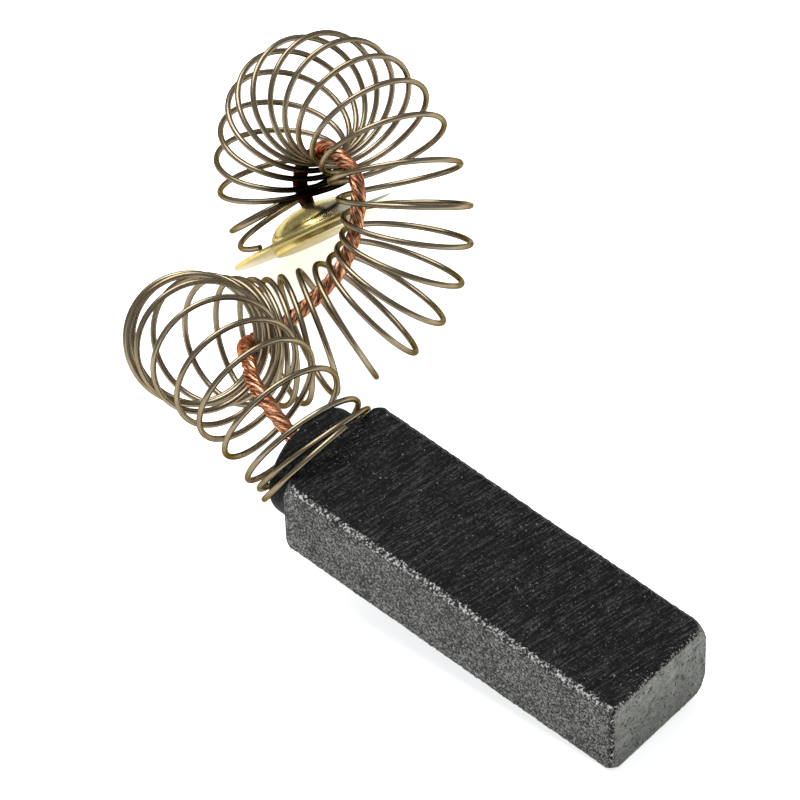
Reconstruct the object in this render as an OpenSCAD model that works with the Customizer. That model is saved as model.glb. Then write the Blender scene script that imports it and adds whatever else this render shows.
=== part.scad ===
// Carbon brush lying as it comes to rest. A rectangular carbon block ends in a
// turned spring seat, a long soft coil spring bends round in a loop over the
// copper shunt inside it, and a stamped brass cap closes the far end.
// Millimetres, +Z up, floor at Z = 0. The carbon block is drawn square to its own
// axes (contact face toward +X, shoulder at X = 0) and laid down at the end.

/* [Carbon block] */
// Length from the shoulder to the contact face
block_l = 33.3; // [20:0.1:50]
// Width across the block
block_w = 11; // [6:0.1:20]
// Thickness of the block
block_h = 7.7; // [4:0.1:15]
// Bevel along the long edges
edge_bevel = 0.3; // [0.1:0.05:1]
// Rounding of the lower rear corner
heel_r = 0.9; // [0.3:0.1:2]
// Height of the bevel along the lower right edge
keel_h = 1.8; // [0.3:0.1:3]
// Width of that bevel
keel_w = 1.1; // [0.3:0.1:3]
// Bevel of the contact face's right end
nose_bevel = 0.5; // [0.1:0.05:2]

/* [Spring seat] */
// Diameter of the turned seat behind the shoulder
seat_d = 9.4; // [5:0.1:12]
// Length of the seat
seat_l = 2.8; // [1:0.1:6]
// Rounding of the seat's end edge
seat_round = 0.8; // [0.2:0.1:2]
// Flare of the seat where it meets the shoulder
seat_flare = 0.25; // [0.1:0.05:1]

/* [Shunt fixing] */
// Diameter of the blind hole in the seat
hole_d = 2.6; // [1.5:0.1:4]
// Depth of the hole from the end of the seat
hole_l = 7.5; // [3:0.5:15]
// Depth that the rammed plug leaves open at the mouth
plug_recess = 0.3; // [0:0.1:1]

/* [Copper shunt] */
// Diameter over the twisted strands
shunt_d = 1.2; // [0.6:0.1:3]
// Clearance of the shunt in the plug and the cap
shunt_clear = 0.1; // [0.02:0.01:0.3]
// Length of the shunt inside the plug
shunt_in_plug = 5; // [2:0.5:10]

/* [Spring] */
// Wire diameter
wire_d = 0.5; // [0.2:0.05:1]
// Mean coil diameter
coil_d = 10.5; // [6:0.1:14]
// Turn number where the wire starts at the block
first_turn = 0.1; // [0:0.05:1]
// Turn number where the wire ends at the cap
last_turn = 36.9; // [20:0.1:37]
// Angle of the wire's start round the coil, in turns
start_phase = 0.06; // [-0.5:0.01:0.5]

/* [Contact cap] */
// Diameter of the brass flange
flange_d = 15.4; // [8:0.1:20]
// Thickness of the flange
flange_t = 0.35; // [0.2:0.05:1]
// Diameter of the domed boss that the spring grips
boss_d = 8.4; // [4:0.1:9]
// Height of that boss above the flange
boss_h = 2.2; // [0.5:0.1:4]
// Diameter of the contact button on the outer side
button_d = 8.4; // [3:0.1:10]
// Height of the contact button
button_h = 0.5; // [0.3:0.1:3]
// Rounding of the button's rim
button_round = 0.3; // [0.1:0.05:1]
// Depth of the shunt's socket in the cap
socket_l = 1.4; // [0.5:0.1:3]

/* [View] */
// Which piece to draw

/* [Hidden] */
$fn = 48;

// How the loose part lies: on its lower left front corner, the cap's rim and a coil
lie_roll = 2.6;
lie_pitch = 11.3;
shift = [0.34, -13.51, 6.76];

half_w = block_w / 2;
axis_z = block_h / 2;
coil_r = coil_d / 2;
wire_r = wire_d / 2;
wire_sides = 6;
rings_per_turn = 20;
shunt_end = plug_recess + shunt_in_plug - seat_l;
eps = 0.01;

// Middle of the coil, from the seat's axis at the shoulder: every turn up to the
// fourth, every third turn up to the thirty-fourth, then every turn to the cap
coil_way = [
    [-1.4, -0.4, 1.05], [-2.1, 0.3, 1.15], [-3.2, 0.4, 0.85], [-5.9, 0.8, 1.65],
    [-9, 1.1, 1.95], [-16.3, 2.8, 0.45], [-19.9, 5.3, -3.95], [-18.9, 10.1, -7.85],
    [-16.7, 13.9, -9.15], [-13.2, 19.9, -6.75], [-13.8, 24.1, -1.45], [-19.1, 26.6, 2.75],
    [-24.9, 27.6, 2.35], [-29.3, 27.4, -2.15], [-29.5, 25.6, -7.25], [-28.4, 24.9, -9.05],
    [-27.6, 24.6, -10.15], [-27, 24.5, -10.75]
];
// Which way those turns face: [heading, climb] in degrees
coil_face = [
    [180, 25], [175, 29], [175, 19], [174, 11], [173, 3], [156, -29],
    [122, -48], [74, -18], [61, 2], [73, 43], [125, 53], [162, 19],
    [176, -21], [213, -63], [309, -65], [323, -50], [348, -32], [362, -48]
];
// Middle of the cap's inner face, and its [heading, climb]
cap_middle = [-24.5, 24.8, -10.95];
cap_face = [-19, -34];

// Way of the shunt from the plug in the block to the socket in the cap
shunt_way = [
    [shunt_end, 0, 0], [shunt_end - 2, 0, 0], [shunt_end - 4, 0, 0], [-2.9, 0, 0],
    [-4.8, 0.6, 0.55], [-7.1, 1.6, 1.15], [-9.7, 2.8, 1.35], [-12.2, 4.1, 0.75],
    [-14.5, 5.6, -0.75], [-16.2, 7.2, -2.85], [-17.2, 9.3, -4.85], [-17.5, 11.8, -6.35],
    [-17.4, 14.4, -6.85], [-16.8, 16.9, -6.25], [-16.5, 19, -4.75], [-16.7, 20.7, -2.75],
    [-17.6, 22.4, -0.65], [-19.2, 23.8, 0.45], [-21.7, 24.6, 0.25], [-24.2, 25.6, -1.45],
    [-26.2, 26.5, -4.35], [-27.6, 26.5, -6.85], [-27.5, 25.9, -8.55],
    cap_middle - (boss_h - shunt_clear) * heading(cap_face),
    cap_middle - (boss_h - socket_l + shunt_clear) * heading(cap_face)
];

// Place in the two coil lists of turn u
function station(u) = u < 4 ? u : u < 34 ? 4 + (u - 4) / 3 : u - 20;

// One Catmull-Rom stretch between b and c
function stretch(a, b, c, d, f) =
    0.5 * (2 * b + (c - a) * f + (2 * a - 5 * b + 4 * c - d) * f * f
    + (3 * b - a - 3 * c + d) * f * f * f);

// Point s steps along a list of points, with straight run-outs past its ends
function along(p, s) =
    let (
        n = len(p) - 1,
        i = max(0, min(n - 1, floor(s))),
        a = i == 0 ? 2 * p[0] - p[1] : p[i - 1],
        d = i == n - 1 ? 2 * p[n] - p[n - 1] : p[i + 2]
    )
    stretch(a, p[i], p[i + 1], d, s - i);

function unit(v) = v / norm(v);
function square_to(v, t) = unit(v - (v * t) * t);
function heading(g) = [cos(g[0]) * cos(g[1]), sin(g[0]) * cos(g[1]), sin(g[1])];

// Tube round a list of points; side gives a sideways direction at each point
function tube_points(p, side, r, sides) = [
    for (i = [0:len(p) - 1])
        let (
            t = unit(p[min(i + 1, len(p) - 1)] - p[max(i - 1, 0)]),
            x = square_to(side[i], t),
            y = cross(t, x)
        )
        for (k = [0:sides - 1])
            p[i] + r * (cos(360 * k / sides) * x + sin(360 * k / sides) * y)
];
function tube_faces(rings, sides) = concat(
    [[for (k = [0:sides - 1]) k]],
    [
        for (i = [0:rings - 2])
            for (k = [0:sides - 1])
                let (a = i * sides + k, b = i * sides + (k + 1) % sides)
                for (f = [[a, a + sides, b], [b, a + sides, b + sides]]) f
    ],
    [[for (k = [sides - 1:-1:0]) (rings - 1) * sides + k]]
);

// Directions carried along a line of facings without twisting about it
function carried(face, first) = [
    for (i = 0, n = square_to(first, face[0]);
        i < len(face);
        i = i + 1, n = i < len(face) ? square_to(n, face[i]) : n) n
];

module lying() {
    translate(shift) rotate([lie_roll, lie_pitch, 0]) children();
}

// What hangs from the seat, measured from its axis
module hung() {
    lying() translate([0, 0, axis_z]) children();
}

// Carbon block: pressed block with a turned, flat-sided spring seat
module carbon_block() {
    color("#2b2b2d") lying() difference() {
        union() {
            block_body();
            seat();
        }
        translate([-seat_l - eps, 0, axis_z])
            rotate([0, 90, 0])
            cylinder(d = hole_d, h = hole_l + eps);
    }
}

module block_body() {
    difference() {
        rotate([90, 0, 90]) linear_extrude(block_l) block_section();
        heel_cut();
        nose_cut();
        rear_edge_cut();
    }
}

// The block's section from behind: thin bevels, and a deep one at the lower right
module block_section() {
    w = half_w;
    polygon([
        [edge_bevel - w, 0], [w - keel_w, 0], [w - keel_w / 3, keel_h / 3], [w, keel_h],
        [w, block_h - edge_bevel], [w - edge_bevel, block_h],
        [edge_bevel - w, block_h], [-w, block_h - edge_bevel], [-w, edge_bevel]
    ]);
}

// Rounds the lower rear corner
module heel_cut() {
    difference() {
        translate([-1, -half_w - 1, -1]) cube([heel_r + 1, block_w + 2, heel_r + 1]);
        translate([heel_r, half_w + 2, heel_r])
            rotate([90, 0, 0])
            cylinder(r = heel_r, h = block_w + 4);
    }
}

// Bevels the upright edge at the right end of the contact face
module nose_cut() {
    translate([block_l, half_w, -1])
        rotate([0, 0, 45])
        translate([-nose_bevel / sqrt(2), -nose_bevel, 0])
        cube([nose_bevel * sqrt(2), nose_bevel * 2, block_h + 2]);
}

// Bevels the upper rear edge, which the spring's first turns pass
module rear_edge_cut() {
    side = edge_bevel * sqrt(2);
    translate([0, 0, block_h]) rotate([0, 45, 0]) cube([side, block_w + 2, side], center = true);
}

module seat() {
    seat_r = seat_d / 2;
    intersection() {
        translate([0, 0, axis_z]) rotate([0, -90, 0]) rotate_extrude() union() {
            square([seat_r, seat_l - seat_round]);
            square([seat_r - seat_round, seat_l]);
            translate([seat_r - seat_round, seat_l - seat_round])
                circle(r = seat_round, $fn = 24);
            polygon([[0, 0], [seat_r + seat_flare, 0], [seat_r, seat_flare], [0, seat_flare]]);
        }
        translate([-seat_l - 1, -block_w, 0]) cube([seat_l + 1, 2 * block_w, block_h]);
    }
}

// Rammed copper powder that holds the shunt in the block's hole
module shunt_plug() {
    color("#6e4a3a") lying() difference() {
        translate([-seat_l + plug_recess, 0, axis_z])
            rotate([0, 90, 0])
            cylinder(d = hole_d, h = hole_l - plug_recess);
        translate([-seat_l, 0, axis_z])
            rotate([0, 90, 0])
            cylinder(d = shunt_d + 2 * shunt_clear, h = plug_recess + shunt_in_plug);
    }
}

// Twisted copper shunt, drawn as the round that it fills
module shunt() {
    color("#b8683f") hung() round_tube(shunt_way, shunt_d / 2, 8, 3);
}

module round_tube(way, r, sides, rings) {
    n = (len(way) - 1) * rings;
    p = [for (i = [0:n]) along(way, i / rings)];
    t = [for (i = [0:n]) unit(p[min(i + 1, n)] - p[max(i - 1, 0)])];
    polyhedron(tube_points(p, carried(t, [0, 0, 1]), r, sides), tube_faces(n + 1, sides));
}

// Bent coil spring: the wire winds round a curved middle line, left-handed
module spring() {
    n = round((last_turn - first_turn) * rings_per_turn);
    turn = [for (i = [0:n]) first_turn + i / rings_per_turn];
    face = [for (u = turn) heading(along(coil_face, station(u)))];
    across = carried(face, [0, 0, 1]);
    out = [
        for (i = [0:n])
            let (a = -360 * (turn[i] - start_phase))
            cos(a) * across[i] + sin(a) * cross(face[i], across[i])
    ];
    wire = [for (i = [0:n]) along(coil_way, station(turn[i])) + coil_r * out[i]];
    color("#6d6350") hung()
        polyhedron(tube_points(wire, out, wire_r, wire_sides), tube_faces(n + 1, wire_sides));
}

// Stamped brass cap: a flange with a boss inside the spring and a contact button
module contact_cap() {
    color("#c9a94e") hung()
        translate(cap_middle)
        rotate([0, 90 - cap_face[1], cap_face[0]])
        difference() {
            rotate_extrude() cap_section();
            translate([0, 0, -boss_h - eps])
                cylinder(d = shunt_d + 2 * shunt_clear, h = socket_l + eps);
        }
}

module cap_section() {
    polygon(concat(
        [for (a = [0:18:90]) [boss_d / 2 * sin(a), -boss_h * cos(a)]],
        [
            [flange_d / 2, 0], [flange_d / 2, flange_t], [button_d / 2, flange_t],
            [button_d / 2, flange_t + button_h - button_round],
            [button_d / 2 - button_round / 3, flange_t + button_h - button_round / 3],
            [button_d / 2 - button_round, flange_t + button_h], [0, flange_t + button_h]
        ]
    ));
}

carbon_block();
shunt_plug();
shunt();
spring();
contact_cap();
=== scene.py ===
import math

import bpy
from mathutils import Euler, Matrix, Vector


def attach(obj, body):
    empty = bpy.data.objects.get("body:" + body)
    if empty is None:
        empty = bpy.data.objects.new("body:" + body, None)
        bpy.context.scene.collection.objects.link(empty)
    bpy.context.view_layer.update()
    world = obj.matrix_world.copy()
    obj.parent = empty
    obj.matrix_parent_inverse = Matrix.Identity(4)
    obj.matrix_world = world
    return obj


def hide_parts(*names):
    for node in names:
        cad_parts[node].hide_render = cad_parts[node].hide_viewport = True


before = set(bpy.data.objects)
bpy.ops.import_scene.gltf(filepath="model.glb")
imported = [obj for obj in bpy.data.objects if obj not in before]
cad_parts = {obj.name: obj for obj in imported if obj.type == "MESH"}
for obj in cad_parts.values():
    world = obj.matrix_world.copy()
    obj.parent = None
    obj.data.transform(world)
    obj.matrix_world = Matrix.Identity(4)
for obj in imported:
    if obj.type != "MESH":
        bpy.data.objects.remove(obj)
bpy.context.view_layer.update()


# ---- Camera ----------------------------------------------------------------
# A long lens half above the bench, looking along the block's left side, so that
# the contact face comes forward and the sprung end lies behind it.
bpy.ops.object.camera_add(
    location=(0.2917, -0.2563, 0.3390),
    rotation=(math.radians(49.12), math.radians(7.89), math.radians(42.43)),
)
camera = bpy.context.object
camera.name = "Bench_camera"
camera.data.lens = 291.2
camera.data.sensor_width = 36
camera.data.clip_start = 0.01
bpy.context.scene.camera = camera


# ---- Carbon block ----------------------------------------------------------
# The wearing part: a bar of pressed and baked carbon, sawn to size on its broad
# faces, with the spring's seat turned on its rear end and left flat top and
# bottom. A drilled hole in the seat takes the copper shunt.
block_length = 0.0333
block_width = 0.0110
block_height = 0.0077
edge_bevel = 0.0003
heel_round = 0.0009
keel_height = 0.0018
keel_width = 0.0011
front_edge_bevel = 0.00015
seat_radius = 0.0047
seat_length = 0.0028
seat_round = 0.0008
seat_overlap = 0.001
hole_radius = 0.0013
hole_depth = 0.0075
grain_size = 0.00014
axis_height = block_height / 2

# The loose part lies on its lower left front corner, a coil and the cap's rim
lie_place = Vector((0.00034, -0.01351, 0.00676))
lie_turn = Euler((math.radians(2.6), math.radians(11.3), 0))
lying = Matrix.Translation(lie_place) @ lie_turn.to_matrix().to_4x4()


def clear_picks():
    bpy.ops.object.select_all(action="DESELECT")


def pick_edges(piece, wanted):
    """Opens a piece with only the edges whose two ends pass."""
    bpy.ops.object.mode_set(mode="EDIT")
    bpy.ops.mesh.select_mode(type="EDGE")
    bpy.ops.mesh.select_all(action="DESELECT")
    bpy.ops.object.mode_set(mode="OBJECT")
    for edge in piece.data.edges:
        edge.select = all(wanted(piece.data.vertices[i].co) for i in edge.vertices)
    bpy.ops.object.mode_set(mode="EDIT")


def cut_away(piece, point, outward):
    """Slices off what stands past a flat cut and closes it."""
    bpy.ops.object.mode_set(mode="EDIT")
    bpy.ops.mesh.select_all(action="SELECT")
    bpy.ops.mesh.bisect(
        plane_co=point, plane_no=outward, use_fill=True, clear_outer=True
    )
    bpy.ops.object.mode_set(mode="OBJECT")


def near(value, goal):
    return abs(value - goal) < 0.00002


def use_up(piece, kind, name, **settings):
    """Puts a modifier on a piece and applies it."""
    modifier = piece.modifiers.new(name, kind)
    for key, value in settings.items():
        setattr(modifier, key, value)
    bpy.context.view_layer.objects.active = piece
    bpy.ops.object.modifier_apply(modifier=name)


def lay_down(piece, stand=Matrix()):
    """Turns a piece from the block's own axes to how it lies, into its mesh. stand
    is where the piece sits on those axes."""
    clear_picks()
    piece.select_set(True)
    bpy.context.view_layer.objects.active = piece
    piece.matrix_world = lying @ stand
    bpy.ops.object.transform_apply(location=True, rotation=True, scale=True)


clear_picks()
bpy.ops.mesh.primitive_cube_add(size=1, location=(block_length / 2, 0, axis_height))
block = bpy.context.object
block.name = "Carbon_bar"
block.scale = (block_length, block_width, block_height)
bpy.ops.object.transform_apply(location=True, rotation=True, scale=True)
half_width = block_width / 2
pick_edges(block, lambda p: near(p.x, block_length) and near(p.y, half_width))
bpy.ops.mesh.bevel(offset=front_edge_bevel, segments=4, affect="EDGES")
pick_edges(block, lambda p: near(p.x, 0) and near(p.z, 0))
bpy.ops.mesh.bevel(offset=heel_round, segments=6, affect="EDGES")
pick_edges(block, lambda p: near(p.x, 0) and near(p.z, block_height))
bpy.ops.mesh.bevel(offset=edge_bevel, segments=3, affect="EDGES")
bpy.ops.object.mode_set(mode="OBJECT")
for side, level in ((-1, 0), (-1, 1), (1, 1)):
    cut_away(
        block,
        (0, side * half_width, abs(level * block_height - edge_bevel)),
        (0, side, 2 * level - 1),
    )
# The lower right long edge is bevelled in two flats
cut_away(block, (0, half_width, keel_height), (0, 1.2, -0.367))
cut_away(block, (0, half_width - keel_width, 0), (0, 0.6, -0.733))

clear_picks()
bpy.ops.mesh.primitive_cylinder_add(
    vertices=96,
    radius=seat_radius,
    depth=seat_length + seat_overlap,
    location=((seat_overlap - seat_length) / 2, 0, axis_height),
    rotation=(0, math.radians(90), 0),
)
seat = bpy.context.object
bpy.ops.object.transform_apply(location=True, rotation=True, scale=True)
pick_edges(seat, lambda p: near(p.x, -seat_length))
bpy.ops.mesh.bevel(offset=seat_round, segments=6, affect="EDGES")
bpy.ops.object.mode_set(mode="OBJECT")
cut_away(seat, (0, 0, block_height), (0, 0, 1))
cut_away(seat, (0, 0, 0), (0, 0, -1))

clear_picks()
bpy.ops.mesh.primitive_cylinder_add(
    vertices=64,
    radius=hole_radius,
    depth=hole_depth + 0.001,
    location=(hole_depth / 2 - seat_length - 0.0005, 0, axis_height),
    rotation=(0, math.radians(90), 0),
)
drill = bpy.context.object
bpy.ops.object.transform_apply(location=True, rotation=True, scale=True)

use_up(block, "BOOLEAN", "Seat", operation="UNION", object=seat)
use_up(block, "BOOLEAN", "Hole", operation="DIFFERENCE", object=drill)
for tool in (seat, drill):
    bpy.data.objects.remove(tool)
use_up(block, "REMESH", "Grain", mode="VOXEL", voxel_size=grain_size)

# Loose grains along the sawn edges, most of all along the upper left one
crumbled = block.vertex_groups.new(name="crumbled")
rims = (
    # how far a point stands into an edge, in millimetres, and how badly it crumbled
    (lambda x, y, z: z - y - 12.9, 1.0),
    (lambda x, y, z: x + z - 41.0, 0.7),
    (lambda x, y, z: x - y - 38.8, 0.6),
    (lambda x, y, z: z + y - 12.9, 0.35),
    (lambda x, y, z: x - z - 33.3, 0.35),
    (lambda x, y, z: -z - y - 5.2, 0.35),
)
for vertex in block.data.vertices:
    x, y, z = vertex.co * 1000
    weight = 0.0
    if x > 0.2:
        for depth, share in rims:
            weight = max(weight, share * min(1, max(0, 1 + depth(x, y, z) / 0.4)))
    if weight > 0:
        crumbled.add([vertex.index], weight, "REPLACE")
grit = bpy.data.textures.new("Grit", "CLOUDS")
grit.noise_scale = 0.00035
grit.noise_depth = 2
use_up(
    block, "DISPLACE", "Crumbling", texture=grit, texture_coords="LOCAL",
    vertex_group="crumbled", strength=0.00040, mid_level=0.62,
)

# Corners knocked round in handling: each with its place and how far it is worn, in
# millimetres. The ball that rounds one meets its three edges at that distance.
knocked = (
    ((33.3, 5.5, 7.7), 2.2), ((33.3, -5.5, 0), 1.6), ((33.3, -5.5, 7.7), 0.7),
    ((0, 5.5, 7.7), 1.5), ((0, -5.5, 0), 1.2), ((33.3, 5.5, 0), 1.5),
    ((0, -5.5, 7.7), 1.8),
)
for vertex in block.data.vertices:
    point = vertex.co * 1000
    for corner, worn in knocked:
        if all(abs(point[i] - corner[i]) < worn for i in range(3)):
            inward = [worn if corner[i] <= 0 else -worn for i in range(3)]
            middle = Vector(corner) + Vector(inward)
            reach = point - middle
            limit = worn * math.sqrt(2)
            if reach.length > limit:
                vertex.co = (middle + reach.normalized() * limit) / 1000
lay_down(block)
bpy.ops.object.shade_smooth()


def shader(tree, kind, **inputs):
    """Adds a node. Names are socket names with _ for a space; a value that is a
    socket is linked, and anything else is set."""
    made = tree.nodes.new(kind)
    for name, value in inputs.items():
        if name.startswith("set_"):
            setattr(made, name[4:], value)
            continue
        if name.startswith("in_"):
            socket = made.inputs[int(name[3:])]
        else:
            socket = made.inputs[name.replace("_", " ")]
        if isinstance(value, bpy.types.NodeSocket):
            tree.links.new(value, socket)
        else:
            socket.default_value = value
    return made


def sum_of(tree, operation, *values):
    """One step of arithmetic on plain numbers or sockets."""
    inputs = {f"in_{i}": value for i, value in enumerate(values)}
    return shader(tree, "ShaderNodeMath", set_operation=operation, **inputs).outputs[0]


def fade(tree, value, low, high):
    """0 below low, 1 above high and a soft step between."""
    return shader(
        tree, "ShaderNodeMapRange", set_interpolation_type="SMOOTHSTEP",
        in_0=value, in_1=low, in_2=high,
    ).outputs[0]


def blend(tree, share, under, over):
    """One colour over another by a mask."""
    mixed = shader(tree, "ShaderNodeMix", set_data_type="RGBA", in_0=share)
    for socket, colour in ((mixed.inputs[6], under), (mixed.inputs[7], over)):
        if isinstance(colour, bpy.types.NodeSocket):
            tree.links.new(colour, socket)
        else:
            socket.default_value = (*colour, 1)
    return mixed.outputs[2]


def tones(tree, value, *stops):
    """A run of colours along a value, from (place, colour) pairs."""
    ramp = shader(tree, "ShaderNodeValToRGB", in_0=value)
    marks = ramp.color_ramp.elements
    for place, colour in stops[2:]:
        marks.new(place)
    for mark, (place, colour) in zip(sorted(marks, key=lambda m: m.position), stops):
        mark.position = place
        mark.color = (*colour, 1)
    return ramp.outputs[0]


def grey(level):
    return (level, level, level * 0.97)


def new_material(name):
    material = bpy.data.materials.new(name)
    material.use_nodes = True
    material.node_tree.nodes.clear()
    return material, material.node_tree


def finish_with(tree, surface):
    shader(tree, "ShaderNodeOutputMaterial", Surface=surface.outputs[0])


def dress(piece, material):
    piece.data.materials.clear()
    piece.data.materials.append(material)


# Where a point is on the straight block, in millimetres
own_axes = bpy.data.node_groups.new("Block axes", "ShaderNodeTree")
for word in ("Place", "Along", "Across", "Up"):
    own_axes.interface.new_socket(
        word, in_out="OUTPUT",
        socket_type="NodeSocketVector" if word == "Place" else "NodeSocketFloat",
    )
where = shader(own_axes, "ShaderNodeTexCoord").outputs["Object"]
turned_back = shader(
    own_axes, "ShaderNodeMapping", set_vector_type="TEXTURE", Vector=where,
    Location=lie_place, Rotation=lie_turn, Scale=(0.001, 0.001, 0.001),
).outputs[0]
parts = shader(own_axes, "ShaderNodeSeparateXYZ", in_0=turned_back).outputs
shader(
    own_axes, "NodeGroupOutput",
    Place=turned_back, Along=parts[0], Across=parts[1], Up=parts[2],
)

# Fine grain: specks of one size, as a shade and as a height
fine_grain = bpy.data.node_groups.new("Fine grain", "ShaderNodeTree")
fine_grain.interface.new_socket("Place", in_out="INPUT", socket_type="NodeSocketVector")
for word in ("Fineness", "Contrast"):
    fine_grain.interface.new_socket(word, in_out="INPUT", socket_type="NodeSocketFloat")
for word in ("Specks", "Height"):
    fine_grain.interface.new_socket(
        word, in_out="OUTPUT", socket_type="NodeSocketFloat"
    )
given = shader(fine_grain, "NodeGroupInput").outputs
coarse = shader(
    fine_grain, "ShaderNodeTexNoise",
    Vector=given["Place"], Scale=given["Fineness"], Detail=3, Roughness=0.7,
).outputs[0]
off_middle = sum_of(fine_grain, "SUBTRACT", coarse, 0.5)
stretched = sum_of(fine_grain, "MULTIPLY_ADD", off_middle, given["Contrast"], 0.5)
shader(fine_grain, "NodeGroupOutput", Specks=stretched, Height=coarse)


def grain(tree, place, fineness, contrast):
    return shader(
        tree, "ShaderNodeGroup", set_node_tree=fine_grain,
        Place=place, Fineness=fineness, Contrast=contrast,
    ).outputs


carbon, tree = new_material("Pressed carbon")
axes = shader(tree, "ShaderNodeGroup", set_node_tree=own_axes).outputs
specks = grain(tree, axes["Place"], 5.5, 3.6)
broad = grain(tree, axes["Place"], 0.5, 1.6)
ragged = sum_of(tree, "MULTIPLY", sum_of(tree, "SUBTRACT", specks["Height"], 0.5), 0.9)


def stands_past(distance, low, high):
    """Mask of what stands past a distance, with a ragged border."""
    return fade(tree, sum_of(tree, "ADD", distance, ragged), low, high)


# Sawn faces: near black, with saw marks a little off square and painted glints, grains
# painted bright where they would catch the light
saw_way = shader(
    tree, "ShaderNodeMapping", set_vector_type="TEXTURE", Vector=axes["Place"],
    Rotation=(0, 0, math.radians(-11)), Scale=(0.10, 2.2, 1),
).outputs[0]
saw_marks = grain(tree, saw_way, 1.0, 3)
sawn_value = sum_of(
    tree, "MULTIPLY_ADD", sum_of(tree, "SUBTRACT", specks["Specks"], 0.5), 0.6,
    saw_marks["Specks"],
)
sawn = tones(
    tree, sawn_value,
    (0.3, grey(0.003)), (0.55, grey(0.008)), (0.8, grey(0.020)), (1.0, grey(0.05)),
)
# Painted glints: pale grey specks in the colour of the sawn faces
painted_glints = fade(tree, grain(tree, axes["Place"], 4.2, 1)["Specks"], 0.66, 0.70)
sawn = blend(tree, painted_glints, sawn, grey(0.22))

# Long sides: pressed skin, granular and grey
side_grain = sum_of(
    tree, "MULTIPLY_ADD", sum_of(tree, "SUBTRACT", broad["Specks"], 0.5), 0.3,
    specks["Specks"],
)
pressed = tones(
    tree, side_grain,
    (0.1, (0.010, 0.009, 0.007)), (0.4, (0.046, 0.046, 0.040)),
    (0.6, (0.082, 0.082, 0.076)), (0.95, (0.26, 0.26, 0.25)),
)

# Contact face: rubbed smoother and paler, with open pits, and painted shade that
# darkens it towards the bottom
mottle = grain(tree, axes["Place"], 1.1, 1.3)
rubbed_and_shade_value = sum_of(
    tree, "MULTIPLY_ADD", sum_of(tree, "SUBTRACT", specks["Specks"], 0.5), 0.5,
    mottle["Specks"],
)
# Painted shade: the contact face is painted darker towards the bottom
rubbed_and_shade_value = sum_of(
    tree, "MULTIPLY_ADD", fade(tree, axes["Up"], 7.5, 0.5), -0.25, rubbed_and_shade_value
)
pits = fade(tree, grain(tree, axes["Place"], 3.2, 2)["Specks"], 0.36, 0.29)
rubbed_with_painted_shade = blend(
    tree, pits,
    tones(
        tree, rubbed_and_shade_value,
        (0.0, (0.085, 0.087, 0.077)), (0.5, (0.16, 0.163, 0.145)),
        (0.95, (0.27, 0.273, 0.25)),
    ),
    grey(0.025),
)

faces = blend(tree, stands_past(axes["Up"], 7.45, 7.58), pressed, sawn)
faces = blend(tree, fade(tree, axes["Up"], 0.12, 0.02), faces, sawn)
seat_top = sum_of(
    tree, "MULTIPLY", fade(tree, axes["Along"], -0.02, -0.2),
    fade(tree, axes["Up"], 0.8, 3.2),
)
faces = blend(tree, seat_top, faces, sawn)
faces = blend(tree, stands_past(axes["Along"], 33.05, 33.15), faces, rubbed_with_painted_shade)
# Upper left edge: crumbled carbon whose chips are painted bright, painted glints where
# they catch the light
broken_with_painted_glints = tones(
    tree, grain(tree, axes["Place"], 4.2, 4)["Specks"],
    (0.2, grey(0.02)), (0.5, grey(0.10)), (0.85, grey(0.55)),
)
dark_broken = tones(
    tree, grain(tree, axes["Place"], 4.2, 4)["Specks"],
    (0.3, grey(0.004)), (0.65, grey(0.03)), (1.0, grey(0.35)),
)
front_rim = sum_of(tree, "ADD", axes["Along"], axes["Up"])
faces = blend(tree, stands_past(front_rim, 40.72, 40.80), faces, dark_broken)
right_rim = sum_of(tree, "ADD", axes["Up"], axes["Across"])
faces = blend(tree, stands_past(right_rim, 12.75, 12.85), faces, grey(0.045))
upper_left = sum_of(tree, "SUBTRACT", axes["Up"], axes["Across"])
upper_left = sum_of(
    tree, "MULTIPLY", stands_past(upper_left, 12.68, 12.84),
    fade(tree, axes["Along"], 33.2, 32.8),
)
faces = blend(tree, upper_left, faces, broken_with_painted_glints)
front_left = sum_of(tree, "SUBTRACT", axes["Along"], axes["Across"])
faces = blend(tree, stands_past(front_left, 38.45, 38.55), faces, dark_broken)
carbon_surface = shader(
    tree, "ShaderNodeBsdfPrincipled", Base_Color=faces, Roughness=0.62,
    Specular_IOR_Level=0.05,
    Normal=shader(
        tree, "ShaderNodeBump", Strength=0.5, Distance=0.00008, Height=specks["Height"]
    ).outputs[0],
)
finish_with(tree, carbon_surface)
dress(block, carbon)
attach(block, "root")
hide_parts("carbon_block")


# ---- Shunt plug ------------------------------------------------------------
# Copper powder rammed into the seat's hole round the shunt. It holds the strands
# and carries the current into the carbon; only its dull mouth shows.
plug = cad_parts["shunt_plug"]
rammed, tree = new_material("Rammed copper powder")
axes = shader(tree, "ShaderNodeGroup", set_node_tree=own_axes).outputs
powder = grain(tree, axes["Place"], 7, 3)
rammed_surface = shader(
    tree, "ShaderNodeBsdfPrincipled", Metallic=0.6, Roughness=0.7,
    Base_Color=tones(
        tree, powder["Specks"], (0.2, (0.05, 0.025, 0.018)), (0.8, (0.24, 0.12, 0.08))
    ),
    Normal=shader(
        tree, "ShaderNodeBump", Strength=0.6, Distance=0.00008, Height=powder["Height"]
    ).outputs[0],
)
finish_with(tree, rammed_surface)
dress(plug, rammed)


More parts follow.
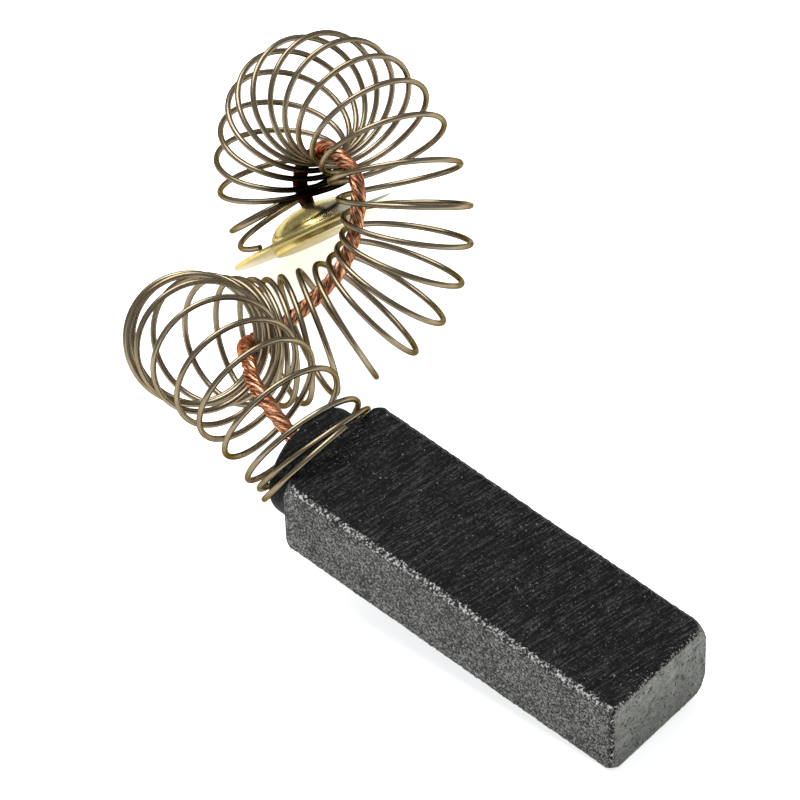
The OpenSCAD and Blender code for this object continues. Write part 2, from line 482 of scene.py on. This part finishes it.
# ---- Copper shunt ----------------------------------------------------------
# The lead that carries the current: four left-hand bundles of bare copper strands,
# fixed in the block's plug and in the cap, and loose inside the spring between.
# Its way is measured from the seat's axis, in millimetres, as is the spring's.
from_seat = Matrix.Translation((0, 0, axis_height))
shunt_way = [
    (2.5, 0, 0), (0.5, 0, 0), (-1.5, 0, 0), (-2.9, 0, 0), (-4.9, 0.5, 0.6),
    (-7.5, 1.1, 1.1), (-10.2, 2.1, 1.2), (-12.2, 3.7, 0.5), (-14.2, 5.3, -1.1),
    (-15.9, 7, -3.2), (-17, 9, -5.2), (-17.3, 11.6, -6.6), (-17.3, 14.3, -7),
    (-16.9, 16.8, -6.2), (-16.5, 19, -4.75), (-16.7, 20.7, -2.75),
    (-17.6, 22.4, -0.65), (-19.2, 23.8, 0.45), (-21.7, 24.6, 0.25),
    (-24.2, 25.6, -1.45), (-26.2, 26.5, -4.35), (-27.6, 26.5, -6.85),
    (-27.5, 25.9, -8.55), (-26.15, 25.37, -9.77), (-25.2, 25.04, -10.45),
]
strand_count = 4
strand_radius = 0.30
strand_ring = 0.33
strand_pitch = 4.8


def along(points, step):
    """A smooth curve through points, in steps of one point."""
    last = len(points) - 1
    i = max(0, min(last - 1, math.floor(step)))
    b, c = Vector(points[i]), Vector(points[i + 1])
    a = Vector(points[i - 1]) if i else 2 * b - c
    d = Vector(points[i + 2]) if i < last - 1 else 2 * c - b
    f = step - i
    return 0.5 * (
        2 * b + (c - a) * f + (2 * a - 5 * b + 4 * c - d) * f * f
        + (3 * b - a - 3 * c + d) * f * f * f
    )


def square_to(direction, line):
    return (direction - direction.dot(line) * line).normalized()


def carried(lines, first):
    """Takes a sideways direction along a row of directions without a twist."""
    sides = [square_to(first, lines[0])]
    for line in lines[1:]:
        sides.append(square_to(sides[-1], line))
    return sides


def headings(points):
    last = len(points) - 1
    return [
        (points[min(i + 1, last)] - points[max(i - 1, 0)]).normalized()
        for i in range(last + 1)
    ]


def drawn_wire(name, runs, radius, facets):
    """Round wire along rows of points in millimetres, closed at both ends, with a
    map that runs along it and round it."""
    corners, faces, marks = [], [], []
    for points, sides in runs:
        start = len(corners)
        travelled = 0.0
        lines = headings(points)
        for i, point in enumerate(points):
            if i:
                travelled += (point - points[i - 1]).length
            side = square_to(sides[i], lines[i])
            over = lines[i].cross(side)
            for k in range(facets):
                angle = math.tau * k / facets
                corners.append(
                    (point + radius * (math.cos(angle) * side + math.sin(angle) * over))
                    / 1000
                )
                marks.append((travelled, k / facets))
        for i in range(len(points) - 1):
            for k in range(facets):
                a = start + i * facets + k
                b = start + i * facets + (k + 1) % facets
                faces.append((a, b, b + facets, a + facets))
        end = start + (len(points) - 1) * facets
        faces.append(tuple(start + k for k in reversed(range(facets))))
        faces.append(tuple(end + k for k in range(facets)))
    mesh = bpy.data.meshes.new(name)
    mesh.from_pydata(corners, [], faces)
    run_map = mesh.uv_layers.new(name="Run")
    for polygon in mesh.polygons:
        turned = [marks[mesh.loops[i].vertex_index][1] for i in polygon.loop_indices]
        for i in polygon.loop_indices:
            length, round_it = marks[mesh.loops[i].vertex_index]
            if len(polygon.vertices) == 4 and max(turned) > 0.7 and round_it < 0.1:
                round_it += 1
            run_map.data[i].uv = (length, round_it)
    piece = bpy.data.objects.new(name, mesh)
    bpy.context.collection.objects.link(piece)
    clear_picks()
    piece.select_set(True)
    bpy.context.view_layer.objects.active = piece
    bpy.ops.object.shade_smooth_by_angle(angle=math.radians(50))
    return piece


middle = [along(shunt_way, i / 12) for i in range((len(shunt_way) - 1) * 12 + 1)]
middle_lines = headings(middle)
middle_sides = carried(middle_lines, Vector((0, 0, 1)))
strands = []
for strand in range(strand_count):
    points, outward, travelled = [], [], 0.0
    for i, point in enumerate(middle):
        if i:
            travelled += (point - middle[i - 1]).length
        angle = math.tau * (strand / strand_count - travelled / strand_pitch)
        side, line = middle_sides[i], middle_lines[i]
        out = math.cos(angle) * side + math.sin(angle) * line.cross(side)
        points.append(point + strand_ring * out)
        outward.append(out)
    strands.append((points, outward))
shunt = drawn_wire("Copper_shunt", strands, strand_radius, 16)
lay_down(shunt, from_seat)
# Painted shade: round this place, where the turns crowd together, the metal is painted
# near black
painted_shade_place = (-0.025, 0.0115, 0.0103)


def distance_from(tree, place):
    """How far a point of the finished piece is from a place."""
    here = shader(tree, "ShaderNodeTexCoord").outputs["Object"]
    return shader(
        tree, "ShaderNodeVectorMath", set_operation="DISTANCE", in_0=here, in_1=place
    ).outputs["Value"]


def outside_painted_shade(tree):
    """Mask: 0 where the turns crowd together and the metal is painted near black as
    shade, 1 away from there.
    """
    return fade(tree, distance_from(tree, painted_shade_place), 0.0025, 0.0058)


copper, tree = new_material("Bare copper strands")
run = shader(tree, "ShaderNodeUVMap", set_uv_map="Run").outputs[0]
lengthwise = shader(
    tree, "ShaderNodeMapping", Vector=run, Scale=(0.9, 16, 1)
).outputs[0]
hairs = grain(tree, lengthwise, 1, 3.2)
where = shader(tree, "ShaderNodeTexCoord").outputs["Object"]
tarnish = grain(tree, where, 500, 2)
bright_copper = tones(
    tree, hairs["Specks"],
    (0.25, (0.04, 0.011, 0.004)), (0.5, (0.32, 0.12, 0.05)), (0.8, (0.92, 0.52, 0.33)),
)
copper_tone = blend(
    tree, fade(tree, tarnish["Specks"], 0.3, 1.3), bright_copper, (0.36, 0.15, 0.08)
)
# Painted shade: the shunt is painted near black where it runs among the crowded turns
copper_surface = shader(
    tree, "ShaderNodeBsdfPrincipled", Metallic=1.0, Roughness=0.32,
    Base_Color=blend(tree, outside_painted_shade(tree), (0.012, 0.005, 0.003), copper_tone),
    Specular_Tint=(0.5, 0.25, 0.16, 1),
    Normal=shader(
        tree, "ShaderNodeBump", Strength=0.9, Distance=0.00006, Height=hairs["Height"]
    ).outputs[0],
)
finish_with(tree, copper_surface)
dress(shunt, copper)
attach(shunt, "root")
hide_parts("shunt")


# ---- Coil spring -----------------------------------------------------------
# Spring steel wire wound left-handed in one soft, long coil. It is pushed over the
# block's seat and the cap's boss, and lies bent round in a loop between them.
coil_way = [
    (-1.35, -0.45, 1), (-2.1, 0.3, 1.15), (-3.2, 0.4, 0.85), (-5.9, 0.8, 1.65),
    (-9, 1.1, 1.95), (-16.3, 2.8, 0.45), (-19.9, 5.3, -3.95), (-18.9, 10.1, -7.85),
    (-16.7, 13.9, -9.15), (-13.2, 19.9, -6.75), (-13.8, 24.1, -1.45),
    (-19.1, 26.6, 2.75), (-24.9, 27.6, 2.35), (-29.3, 27.4, -2.15),
    (-29.5, 25.6, -7.25), (-28.4, 24.9, -9.05), (-27.6, 24.6, -10.15),
    (-27, 24.5, -10.75),
]
coil_face = [
    (180, 25), (175, 29), (175, 19), (174, 11), (173, 3), (156, -29),
    (122, -48), (74, -18), (61, 2), (73, 43), (125, 53), (162, 19),
    (176, -21), (213, -63), (309, -65), (323, -50), (348, -32), (362, -48),
]
wire_radius = 0.245
coil_radius = 5.19
first_turn = 0.02
last_turn = 36.92
start_phase = 0.06
rings_per_turn = 60


def station(turn):
    """Place in the two coil lists: every turn at the ends, every third between."""
    if turn < 4:
        return turn
    return 4 + (turn - 4) / 3 if turn < 34 else turn - 20


def facing(turn):
    around, climb, _ = along([(*pair, 0) for pair in coil_face], station(turn))
    around, climb = math.radians(around), math.radians(climb)
    return Vector(
        (
            math.cos(around) * math.cos(climb),
            math.sin(around) * math.cos(climb),
            math.sin(climb),
        )
    )


turns = [
    first_turn + i / rings_per_turn
    for i in range(round((last_turn - first_turn) * rings_per_turn) + 1)
]
coil_lines = [facing(turn) for turn in turns]
coil_sides = carried(coil_lines, Vector((0, 0, 1)))
wire_way, wire_out = [], []
for turn, line, side in zip(turns, coil_lines, coil_sides):
    angle = -math.tau * (turn - start_phase)
    out = math.cos(angle) * side + math.sin(angle) * line.cross(side)
    wire_out.append(out)
    wire_way.append(along(coil_way, station(turn)) + coil_radius * out)
spring = drawn_wire("Coil_spring", [(wire_way, wire_out)], wire_radius, 14)
lay_down(spring, from_seat)

steel, tree = new_material("Drawn spring steel")
run = shader(tree, "ShaderNodeUVMap", set_uv_map="Run").outputs[0]
drawn_way = shader(tree, "ShaderNodeMapping", Vector=run, Scale=(0.25, 6, 1)).outputs[0]
die_lines = grain(tree, drawn_way, 1.5, 1.6)
where = shader(tree, "ShaderNodeTexCoord").outputs["Object"]
stain = grain(tree, where, 260, 2)
steel_tone = blend(
    tree, stain["Specks"],
    tones(
        tree, die_lines["Specks"],
        (0.15, (0.085, 0.062, 0.034)), (0.85, (0.44, 0.375, 0.275)),
    ),
    (0.18, 0.138, 0.08),
)
# Painted shade: the wire is painted near black where the turns crowd together
steel_tone = blend(tree, outside_painted_shade(tree), (0.010, 0.007, 0.004), steel_tone)
steel_surface = shader(
    tree, "ShaderNodeBsdfPrincipled", Metallic=1.0, Roughness=0.26,
    Base_Color=steel_tone, Specular_Tint=(0.30, 0.27, 0.22, 1),
    Normal=shader(
        tree, "ShaderNodeBump", Strength=0.3, Distance=0.00002,
        Height=die_lines["Height"],
    ).outputs[0],
)
finish_with(tree, steel_surface)
dress(spring, steel)
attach(spring, "root")
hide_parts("spring")


# ---- Contact cap -----------------------------------------------------------
# Pressed from brass: a thin wide flange, a domed boss that the last turns grip,
# and a low button on the outer side. The shunt is soldered into the boss.
flange_radius = 0.0077
flange_thickness = 0.00035
boss_radius = 0.0042
boss_height = 0.0022
button_radius = 0.0042
button_height = 0.0005
button_round = 0.0003
socket_depth = 0.0013
rim_round = 0.00008
# Centre of the painted reflection on one side of the flange
painted_reflection_place = (-0.0204, 0.0179, 0.0065)


def pick_end(piece, direction):
    """Opens a turned piece with only its outermost flat face that way."""
    bpy.ops.object.mode_set(mode="EDIT")
    bpy.ops.mesh.select_mode(type="FACE")
    bpy.ops.mesh.select_all(action="DESELECT")
    bpy.ops.object.mode_set(mode="OBJECT")
    flats = [f for f in piece.data.polygons if f.normal.z * direction > 0.99]
    furthest = max(flats, key=lambda f: f.center.z * direction)
    furthest.select = True
    bpy.ops.object.mode_set(mode="EDIT")


clear_picks()
bpy.ops.mesh.primitive_cylinder_add(
    vertices=128, radius=flange_radius, depth=flange_thickness,
    location=(0, 0, flange_thickness / 2),
)
cap = bpy.context.object
cap.name = "Brass_cap"
bpy.ops.object.transform_apply(location=True, rotation=True, scale=True)
pick_end(cap, 1)
bpy.ops.mesh.inset(thickness=flange_radius - button_radius)
bpy.ops.mesh.extrude_region_move(
    TRANSFORM_OT_translate={"value": (0, 0, button_height)}
)
bpy.ops.mesh.inset(thickness=button_radius * 0.5)
bpy.ops.mesh.inset(thickness=button_radius * 0.4)
pick_end(cap, -1)
bpy.ops.mesh.inset(thickness=flange_radius - boss_radius)
# The dome is drawn out ring by ring, and the last ring is sunk as the socket
rings = 12
for ring in range(1, rings):
    low, high = (math.radians(90 * k / rings) for k in (ring - 1, ring))
    rise = boss_height * (math.sin(high) - math.sin(low))
    bpy.ops.mesh.extrude_region_move(TRANSFORM_OT_translate={"value": (0, 0, -rise)})
    share = math.cos(high) / math.cos(low)
    bpy.ops.transform.resize(value=(share, share, 1), center_override=(0, 0, 0))
bpy.ops.mesh.extrude_region_move(TRANSFORM_OT_translate={"value": (0, 0, socket_depth)})
bpy.ops.object.mode_set(mode="OBJECT")
top = flange_thickness + button_height
pick_edges(
    cap, lambda p: near(p.z, top) and near(math.hypot(p.x, p.y), button_radius)
)
bpy.ops.mesh.bevel(offset=button_round, segments=5, affect="EDGES")
pick_edges(cap, lambda p: near(math.hypot(p.x, p.y), flange_radius))
bpy.ops.mesh.bevel(offset=rim_round, segments=2, affect="EDGES")
bpy.ops.object.mode_set(mode="OBJECT")
cap_stand = from_seat @ Matrix.Translation((-0.0245, 0.0248, -0.01095)) @ Euler(
    (0, math.radians(124), math.radians(-19))
).to_matrix().to_4x4()
lay_down(cap, cap_stand)
bpy.ops.object.shade_smooth_by_angle(angle=math.radians(40))

brass, tree = new_material("Pressed brass")
where = shader(tree, "ShaderNodeTexCoord").outputs["Object"]
wear = grain(tree, where, 700, 2.4)
film = grain(tree, where, 160, 2)
brass_tone = blend(
    tree, film["Specks"],
    tones(
        tree, wear["Specks"],
        (0.1, (0.30, 0.235, 0.075)), (0.9, (0.66, 0.54, 0.24)),
    ),
    (0.50, 0.405, 0.155),
)
# Painted reflection: one side of the flange is painted pale, near white, as the white
# bench shining off it
brass_tone = blend(
    tree, fade(tree, distance_from(tree, painted_reflection_place), 0.004, 0.009),
    (0.92, 0.90, 0.82), brass_tone,
)
brass_surface = shader(
    tree, "ShaderNodeBsdfPrincipled", Metallic=1.0, Roughness=0.24,
    Base_Color=brass_tone, Specular_Tint=(0.75, 0.7, 0.52, 1),
    Normal=shader(
        tree, "ShaderNodeBump", Strength=0.3, Distance=0.00003, Height=wear["Height"]
    ).outputs[0],
)
finish_with(tree, brass_surface)
dress(cap, brass)
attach(cap, "root")
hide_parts("contact_cap")


# ---- Bench and light -------------------------------------------------------
# A white bench that glows from under, as a light table does, with one big soft light
# above on the left and a pale room round it.
clear_picks()
bpy.ops.mesh.primitive_plane_add(size=4, location=(0, 0, 0))
bench = bpy.context.object
bench.name = "Bench"
white, tree = new_material("White bench")
matt = shader(tree, "ShaderNodeBsdfDiffuse", Color=(0.9, 0.9, 0.9, 1))
glow = shader(tree, "ShaderNodeEmission", Color=(1, 1, 1, 1), Strength=0.72)
lit = shader(
    tree, "ShaderNodeAddShader", in_0=matt.outputs[0], in_1=glow.outputs[0]
)
finish_with(tree, lit)
dress(bench, white)

room = bpy.data.worlds.new("Pale room")
room.use_nodes = True
room.node_tree.nodes["Background"].inputs["Color"].default_value = (0.9, 0.95, 1, 1)
room.node_tree.nodes["Background"].inputs["Strength"].default_value = 0.5
bpy.context.scene.world = room


light_place = Vector((-0.25, 0.05, 0.8))
bpy.ops.object.light_add(type="AREA", location=light_place)
light = bpy.context.object
light.name = "Overhead_softbox"
light.data.size = 0.7
light.data.energy = 9
light.rotation_euler = (-light_place).to_track_quat("-Z", "Y").to_euler()

bpy.context.scene.view_settings.view_transform = "Standard"
bpy.context.scene.view_settings.look = "None"
